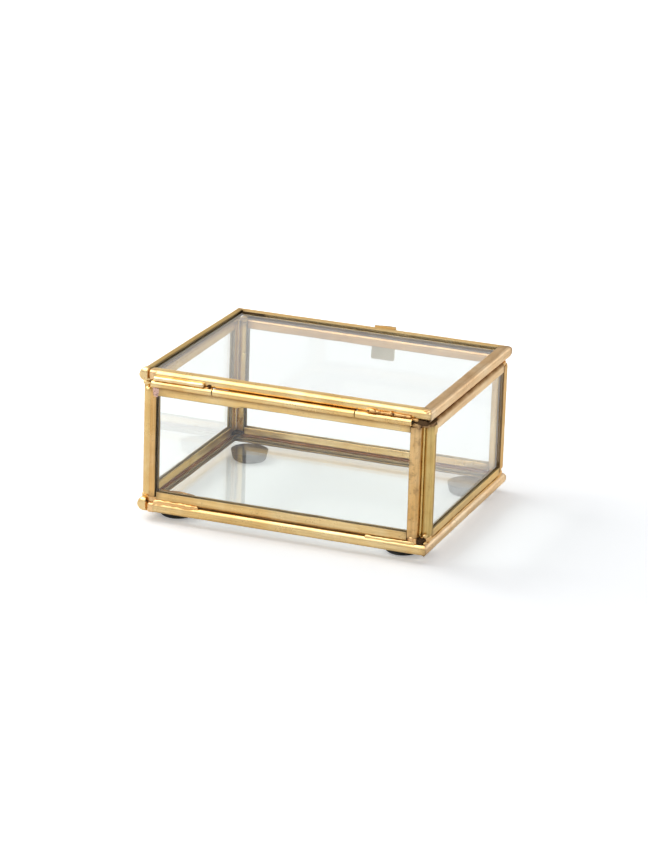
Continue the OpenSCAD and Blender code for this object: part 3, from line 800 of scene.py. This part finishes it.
# Packing rods, filler rods, corner wires, drawn seams and dark rods of painted shade in gaps
rods = {
    # node: body, seed, unevenness, thickness against the node's (up and in depth), finish, extra length
    "lid_left_packing_rod": ("lid", 41, 0.05, (1.0, 1.0), "paleBrass", 0.8),
    "lid_right_packing_rod": ("lid", 42, 0.12, (0.7, 0.7), "amberDull", 0.0),
    "base_left_filler_rod": ("box", 43, 0.22, (1.75, 1.15), "rosyBrass", 0.0),
    "base_right_filler_rod": ("box", 44, 0.12, (1.1, 1.0), "solder", 0.0),
}
for node, (body, rodSeed, rough, squash, finish, longer) in rods.items():
    low, high = boxMm(node)
    x, y, z = (low + high) / 2
    shape = rodShape((low[0], y, z), (high[0] + longer, y, z), (high[2] - low[2]) / 2, rodSeed, rough, squash)
    dress(joinedShapes(node + "_wire", [(*shape, tarnished["rod"])]), finish, body, "brass", node)

for rodSeed, corner in enumerate(("hinge_left", "hinge_right", "tab_left", "tab_right"), 51):
    node = corner + "_corner_wire"
    low, high = boxMm(node)
    x, y, z = (low + high) / 2
    shape = rodShape((x, y, low[2]), (x, y, high[2]), (high[0] - low[0]) / 2, rodSeed, 0.05)
    piece = joinedShapes(node + "_drawn", [(*shape, tarnished["cornerWire"])])
    dress(piece, "oliveBrass", "box", "brass", node)

seams = {
    # solder drawn out along a joint, and rods that fill gaps as painted shade; name: body, finish, start,
    # end, radius, unevenness
    "front_left_seam": ("box", "brass", (-46.75, -38.5, 8.2), (-46.75, -38.5, 45.8), 1.5, 0.015),
    "back_right_seam": ("box", "amberBrass", (48.4, 37.5, 8.2), (48.4, 37.5, 45.6), 1.0, 0.02),
    # painted shade: a dark rod behind the corner wire
    "front_right_corner_shade": ("box", "charredAndShade", (46.5, -36.5, 8.5), (46.5, -36.5, 45.5), 0.5, 0.05),
    "base_right_seam": ("box", "amberBrass", (49.15, -35.5, 6.55), (49.15, 36.5, 6.55), 0.36, 0.12),
    # painted shade: brown rods filling the gaps under the back and left walls
    "base_tab_gap_shade": ("box", "brownGapShade", (-44.5, 36.95, 6.56), (44.5, 36.95, 6.56), 0.5, 0.03),
    "base_left_gap_shade": ("box", "brownGapShade", (-46.95, -35.0, 6.56), (-46.95, 35.5, 6.56), 0.5, 0.03),
    # painted shade: a dull rod filling the gap between the back wall and the lid
    "tab_wall_top_gap_shade": ("box", "amberDull", (-44.5, 38.9, 47.0), (44.5, 38.9, 47.0), 0.45, 0.06),
    "left_knuckle_seam": ("lid", "amberBrass", (-44.5, -39.3, 47.85), (-24.3, -39.3, 47.85), 0.6, 0.05),
    "middle_knuckle_fillet": ("box", "amberDull", (-23.8, -39.2, 47.58), (-12.0, -39.2, 47.58), 0.54, 0.02),
    # painted shade: a very dark rod filling the gap between the lid and the middle knuckle
    "middle_knuckle_gap_shade": ("box", "deepGapShade", (-13.0, -39.2, 47.9), (24.8, -39.2, 47.9), 0.6, 0.02),
    "right_knuckle_seam": ("lid", "amberDull", (24.9, -39.2, 47.8), (45.7, -39.2, 47.8), 0.58, 0.05),
}
for name, (body, finish, start, end, radius, rough) in seams.items():
    shape = rodShape(start, end, radius, 60, rough)
    dress(joinedShapes(name, [(*shape, tarnished["seam"])]), finish, body, "brass")
print("stage: rods and wires made")


tab = {
    "rows": 30, "columns": 24,
    "tall": 13.0,
    "above": 0.3,          # how far it stands over the lid frame
    "front": (0.05, 0.3),  # distance of each face from the lid frame, and its share of the bow
    "rear": (0.83, 1.0),
    "narrower": 0.09,      # how much narrower the top is, as a share of the width
    "corner": (0.94, 0.06, 0.09),   # rounded lower corners: from where down, over what share, by how much
    "bow": 0.04,
    "topWave": 0.12,       # unevenness of the upper edge
    "shadeAndStain": 0.35,         # how brown its top is
    "stainEnd": (0.6, 0.35),        # how far down the brown reaches and over what share it fades
}

# A flat grid, from -1 to 1 across and from 0 to 1 down, for each of the two faces. The outline narrows to the
# top on its left side and is rounded at the lower corners, and the sheet bows by a sine of both
low, high = boxMm("lift_tab")
w = high[0] - low[0]
top = lidPlace["middle"] + strip["across"] / 2 + tab["above"]
across, down = np.meshgrid(np.linspace(-1, 1, tab["columns"]), np.linspace(0, 1, tab["rows"]))
begin, over, by = tab["corner"]
halfWidth = w / 2 * (1 - by * np.clip((down - begin) / over, 0, 1) ** 3)
leaning = np.where(across < 0, -across, 0) * w * tab["narrower"] * (1 - down)
x = (low[0] + high[0]) / 2 + across * halfWidth + leaning
z = top - tab["tall"] * down + tab["topWave"] * np.sin(across * 2.1 + 0.6) * (1 - down)
bowed = tab["bow"] * np.sin(across * 2.0 + down * 3.0)
verts = np.concatenate([np.stack([x, lidPlace["halfDepth"] + y + share * bowed, z], -1).reshape(-1, 3)
                        for y, share in (tab["front"], tab["rear"])])
count = across.size
grid = np.arange(count).reshape(across.shape)
rim = np.concatenate([grid[0, :-1], grid[:-1, -1], grid[-1, :0:-1], grid[:0:-1, 0]])
nextRim = np.roll(rim, -1)
sheet = gridFaces(tab["rows"], tab["columns"], wrap=False)
faces = np.concatenate([sheet, sheet[:, ::-1] + count,
                        np.stack([rim, rim + count, nextRim + count, nextRim], -1)])
end, over = tab["stainEnd"]
browned = np.tile((tab["shadeAndStain"] * smoothStep((end - down) / over)).ravel(), 2)
shape = (verts, faces, noTriangles, tarnished["tab"], 0.0, browned)
dress(joinedShapes("lift_tab_strip", [shape], sharp=30), "tanBrass", "lid", "brass", "lift_tab")
print("stage: lift tab made")


# Solder at the corners and joints, and dark lumps of painted shade in gaps, hollows and corners
solder = {
    # name: body, finish, beads as (middle, radii, squareness 1 round to 0.4 boxy, lumpiness)
    "front_left_cap": ("lid", "rosyBrass", [((-45.05, -38.35, 49.72), (1.75, 1.78, 1.7), 0.6, 0.04)]),
    "front_right_patch": ("lid", "rosySolder", [
        ((48.2, -38.9, 51.3), (1.3, 0.8, 0.28), 0.9, 0.15),
        ((49.0, -39.4, 50.2), (0.75, 0.5, 1.2), 0.9, 0.15),
    ]),
    "right_seam": ("lid", "amberDull", [
        ((30.2, -40.75, 49.25), (1.3, 0.55, 0.6), 0.8, 0.25),
        ((32.3, -40.6, 49.0), (1.1, 0.4, 0.4), 0.9, 0.25),
        ((36.9, -40.75, 49.2), (0.4, 0.4, 0.6), 0.9, 0.2),
    ]),
    "right_seam_pits": ("lid", "charredAndShade", [
        ((31.3, -41.1, 49.35), (0.5, 0.28, 0.32), 1.0, 0.2),
        ((29.4, -41.1, 49.15), (0.36, 0.24, 0.26), 1.0, 0.2),
        ((37.7, -40.95, 49.1), (0.25, 0.25, 0.5), 1.0, 0.2),
    ]),
    # painted shade: a dark lump in the notch by the left knuckle
    "left_notch_shade": ("lid", "charredAndShade", [((-25.4, -40.3, 48.95), (0.7, 0.42, 0.42), 0.9, 0.2)]),
    "base_left_cap": ("box", "rosyBrass", [((-45.1, -38.3, 4.6), (1.75, 1.8, 1.8), 0.6, 0.04)]),
    "bead_over_base_knob": ("box", "brass", [((-47.3, -37.7, 8.1), (1.75, 1.3, 1.0), 0.8, 0.08)]),
    "front_left_post_top": ("box", "brass", [
        ((-48.0, -35.0, 46.0), (1.6, 1.7, 0.85), 0.5, 0.05),
        ((-47.7, -37.3, 46.3), (1.5, 1.1, 0.8), 0.8, 0.08),
        ((-44.8, -38.05, 46.0), (1.65, 1.6, 0.8), 0.5, 0.05),
    ]),
    "front_left_tarnish": ("box", "speckled", [((-44.0, -39.5, 44.4), (1.15, 0.46, 1.9), 0.9, 0.12)]),
    "front_left_post_foot": ("box", "rosySolder", [
        ((-48.0, -35.0, 7.45), (1.6, 1.7, 0.95), 0.5, 0.05),
        ((-44.8, -38.05, 7.4), (1.7, 1.6, 0.95), 0.5, 0.06),
        ((-46.6, -37.0, 6.9), (1.6, 1.5, 0.8), 0.7, 0.1),
    ]),
    "front_right_post_top": ("box", "burntSolder", [
        ((44.9, -38.05, 46.05), (1.7, 1.55, 0.8), 0.5, 0.08),
        ((47.2, -37.4, 45.9), (1.3, 1.2, 0.75), 0.7, 0.15),
        ((48.05, -35.0, 46.0), (1.55, 1.75, 0.8), 0.5, 0.08),
        ((45.3, -39.3, 45.4), (1.2, 0.35, 0.8), 0.9, 0.2),
    ]),
    # painted shade filling the gap under the lid's right corner, partly a dark solder lump
    "under_lid_right_shade": ("box", "charredAndShade", [
        ((46.4, -38.6, 47.08), (2.35, 1.2, 0.95), 0.7, 0.08),
        ((48.6, -35.6, 46.7), (1.1, 3.2, 0.6), 0.8, 0.15),
        ((45.05, -38.9, 47.55), (0.62, 0.5, 0.42), 0.9, 0.1),
    ]),
    "right_post_shoulder": ("box", "brass", [((49.5, -33.6, 43.6), (0.4, 1.9, 1.6), 0.8, 0.1)]),
    "front_right_post_foot": ("box", "rosySolder", [
        ((44.9, -38.05, 7.4), (1.7, 1.6, 0.95), 0.5, 0.08),
        ((48.05, -35.0, 7.45), (1.6, 1.75, 0.95), 0.5, 0.08),
        ((44.6, -39.4, 7.9), (1.3, 0.45, 0.8), 0.9, 0.2),
    ]),
    # painted shade: dark lumps in the hollow of the corner
    "front_right_hollow_shade": ("box", "charredAndShade", [
        ((47.3, -37.5, 7.2), (2.0, 1.7, 0.95), 1.0, 0.2),
        ((46.9, -38.8, 7.3), (1.6, 0.75, 0.8), 1.0, 0.25),
    ]),
    "front_right_bead": ("box", "solder", [
        ((48.6, -37.4, 9.0), (1.0, 0.75, 0.75), 1.0, 0.12),
        ((45.2, -39.35, 6.95), (0.75, 0.4, 0.45), 1.0, 0.2),
        ((49.1, -38.3, 7.0), (0.6, 0.8, 0.5), 1.0, 0.2),
    ]),
    "front_left_inner_lump": ("box", "burntSolder", [
        ((-40.6, -36.3, 9.4), (2.9, 0.5, 1.0), 0.8, 0.2),
        ((-35.5, -36.3, 9.8), (4.8, 0.42, 0.85), 0.8, 0.15),
    ]),
    # painted shade: a dark flat lump for the shade under the back rail near the left corner
    "lid_back_corner_shade": ("lid", "charredAndShade", [((-40.6, 35.95, 51.0), (3.2, 0.5, 0.22), 0.9, 0.15)]),
    "tab_left_post_top": ("box", "oliveBrass", [
        ((-44.9, 38.05, 46.0), (1.7, 1.55, 0.75), 0.5, 0.06),
        ((-47.2, 37.4, 45.9), (1.4, 1.4, 0.75), 0.7, 0.12),
        ((-48.05, 34.9, 46.0), (1.55, 1.7, 0.75), 0.5, 0.06),
    ]),
    # solder beads at the back-left post foot, painted near black for the shade of that inner corner
    "tab_left_post_foot": ("box", "charredAndShade", [
        ((-44.9, 38.05, 7.4), (1.75, 1.6, 0.95), 0.5, 0.08),
        ((-45.4, 36.4, 7.4), (1.9, 1.2, 0.9), 0.8, 0.15),
        ((-48.05, 34.9, 7.45), (1.6, 1.75, 0.95), 0.5, 0.08),
    ]),
    "tab_right_post_top": ("box", "rosySolder", [
        ((44.9, 38.05, 46.0), (1.7, 1.55, 0.75), 0.5, 0.06),
        ((47.2, 37.4, 45.9), (1.4, 1.4, 0.75), 0.7, 0.12),
        ((48.05, 34.9, 46.0), (1.55, 1.7, 0.75), 0.5, 0.06),
    ]),
    "tab_right_post_foot": ("box", "rosySolder", [
        ((44.9, 38.05, 7.4), (1.75, 1.6, 0.95), 0.5, 0.08),
        ((47.3, 37.3, 6.9), (1.6, 1.5, 0.8), 0.8, 0.15),
        ((48.05, 34.9, 7.45), (1.6, 1.75, 0.95), 0.5, 0.08),
    ]),
}
seed = 700
for name, (body, finish, beads) in solder.items():
    shapes = []
    for middle, radii, square, lumps in beads:
        shapes.append((*beadShape(middle, radii, seed, lumps, square), tarnished["bead"]))
        seed += 1
    dress(joinedShapes(name, shapes), finish, body, "brass")
print("stage: solder made")


# Floor, room and lamps
studio = {
    "floorRadius": 6.0,             # metres
    "floor": (0.885, 0.90, 0.92),
    "glowColour": (0.97, 0.985, 1.0),
    "glowMiddle": (0.05, 0.0, 0.0),
    "glow": {
        # how the floor is lifted to plain white: near and far strength, and the metres between which it rises
        "Is Camera Ray": (0.34, 0.85, 0.08, 0.34),
        "Is Transmission Ray": (0.17, 0.90, 0.30, 1.80),
        "Is Glossy Ray": (0.18, 0.50, 0.60, 2.50),
    },
    "dome": 0.14,                   # strength of the sky for lighting
    # what polished metal and glass see of the room, and where along Y or up Z each part begins and is full
    "shine": {"back": 1.25, "high": 0.50, "front": 0.62, "top": 0.60},
    "shineFrom": {"high": (0.12, 0.42), "front": (0.2, -0.5), "top": (0.45, 0.85)},
}

floorSteps = 96
angle = np.linspace(0, 2 * math.pi, floorSteps, endpoint=False)
rim = np.stack([np.cos(angle), np.sin(angle), 0 * angle], -1) * studio["floorRadius"]
floorMesh = bpy.data.meshes.new("floor")
floorMesh.from_pydata(rim.tolist(), [], [list(range(floorSteps))])
floorMesh.update()
floor = linked("floor", floorMesh)
material, tree = newMaterial("paleFloor")
diffuse = addNode(tree, "ShaderNodeBsdfDiffuse", {"Color": (*studio["floor"], 1.0)})
path = addNode(tree, "ShaderNodeLightPath")
place = addNode(tree, "ShaderNodeTexCoord").outputs["Object"]
far = addNode(tree, "ShaderNodeVectorMath", operation="DISTANCE")
tree.links.new(place, far.inputs[0])
far.inputs[1].default_value = studio["glowMiddle"]
strength = 0.0
for rays, (near, distant, begin, end) in studio["glow"].items():
    lift = rise(tree, far.outputs["Value"], begin, end, near, distant)
    strength = plus(tree, times(tree, path.outputs[rays], lift), strength)
glow = addNode(tree, "ShaderNodeEmission", {"Color": (*studio["glowColour"], 1.0)})
tree.links.new(strength, glow.inputs["Strength"])
both = addNode(tree, "ShaderNodeAddShader")
tree.links.new(diffuse.outputs[0], both.inputs[0])
tree.links.new(glow.outputs[0], both.inputs[1])
outputFrom(tree, both)
floorMesh.materials.append(material)

world = bpy.data.worlds.new("studio")
bpy.context.scene.world = world
world.use_nodes = True
tree = world.node_tree
tree.nodes.clear()
path = addNode(tree, "ShaderNodeLightPath").outputs
split = addNode(tree, "ShaderNodeSeparateXYZ")
tree.links.new(addNode(tree, "ShaderNodeTexCoord").outputs["Generated"], split.inputs[0])
shine, shineFrom = studio["shine"], studio["shineFrom"]
level = rise(tree, split.outputs["Z"], *shineFrom["high"], shine["back"], shine["high"])
for part, axis in (("front", "Y"), ("top", "Z")):
    share = rise(tree, split.outputs[axis], *shineFrom[part])
    level = plus(tree, times(tree, share, mathNode(tree, "SUBTRACT", shine[part], level)), level)
white, dome, sheen = (addNode(tree, "ShaderNodeBackground", {"Color": (1, 1, 1, 1), "Strength": strength})
                      for strength in (1.0, studio["dome"], 1.0))
tree.links.new(level, sheen.inputs["Strength"])
shownWhite = mathNode(tree, "MAXIMUM", path["Is Camera Ray"], path["Is Transmission Ray"])
room = mixShader(tree, path["Is Glossy Ray"], dome, sheen)
outputFrom(tree, mixShader(tree, shownWhite, room, white), "ShaderNodeOutputWorld")

lamps = {
    # name: place, aim and size in metres, brightness of its face, whether it gives light or only highlights
    "keyPanel": ((-0.85, 0.06, 0.86), (0, 0, 0.02), (0.65, 0.65), 5.0, True),
    "topPanel": ((-0.35, -0.15, 1.05), (-0.35, -0.15, 0), (1.9, 2.1), 0.85, True),
    "frontPanel": ((-0.40, -0.62, 0.92), (0, 0, 0.02), (0.9, 1.35), 1.5, False),
}
for name, (at, aim, size, brightness, givesLight) in lamps.items():
    data = bpy.data.lights.new(name, "AREA")
    data.shape = "RECTANGLE"
    data.size, data.size_y = size
    data.energy = brightness * math.pi * data.size * data.size_y
    lamp = linked(name, data)
    lamp.visible_diffuse = givesLight
    lamp.location = at
    lamp.rotation_mode = "QUATERNION"
    lamp.rotation_quaternion = (Vector(aim) - Vector(at)).to_track_quat("-Z", "Y")

bpy.context.scene.view_settings.view_transform = "Standard"
print("stage: studio ready")
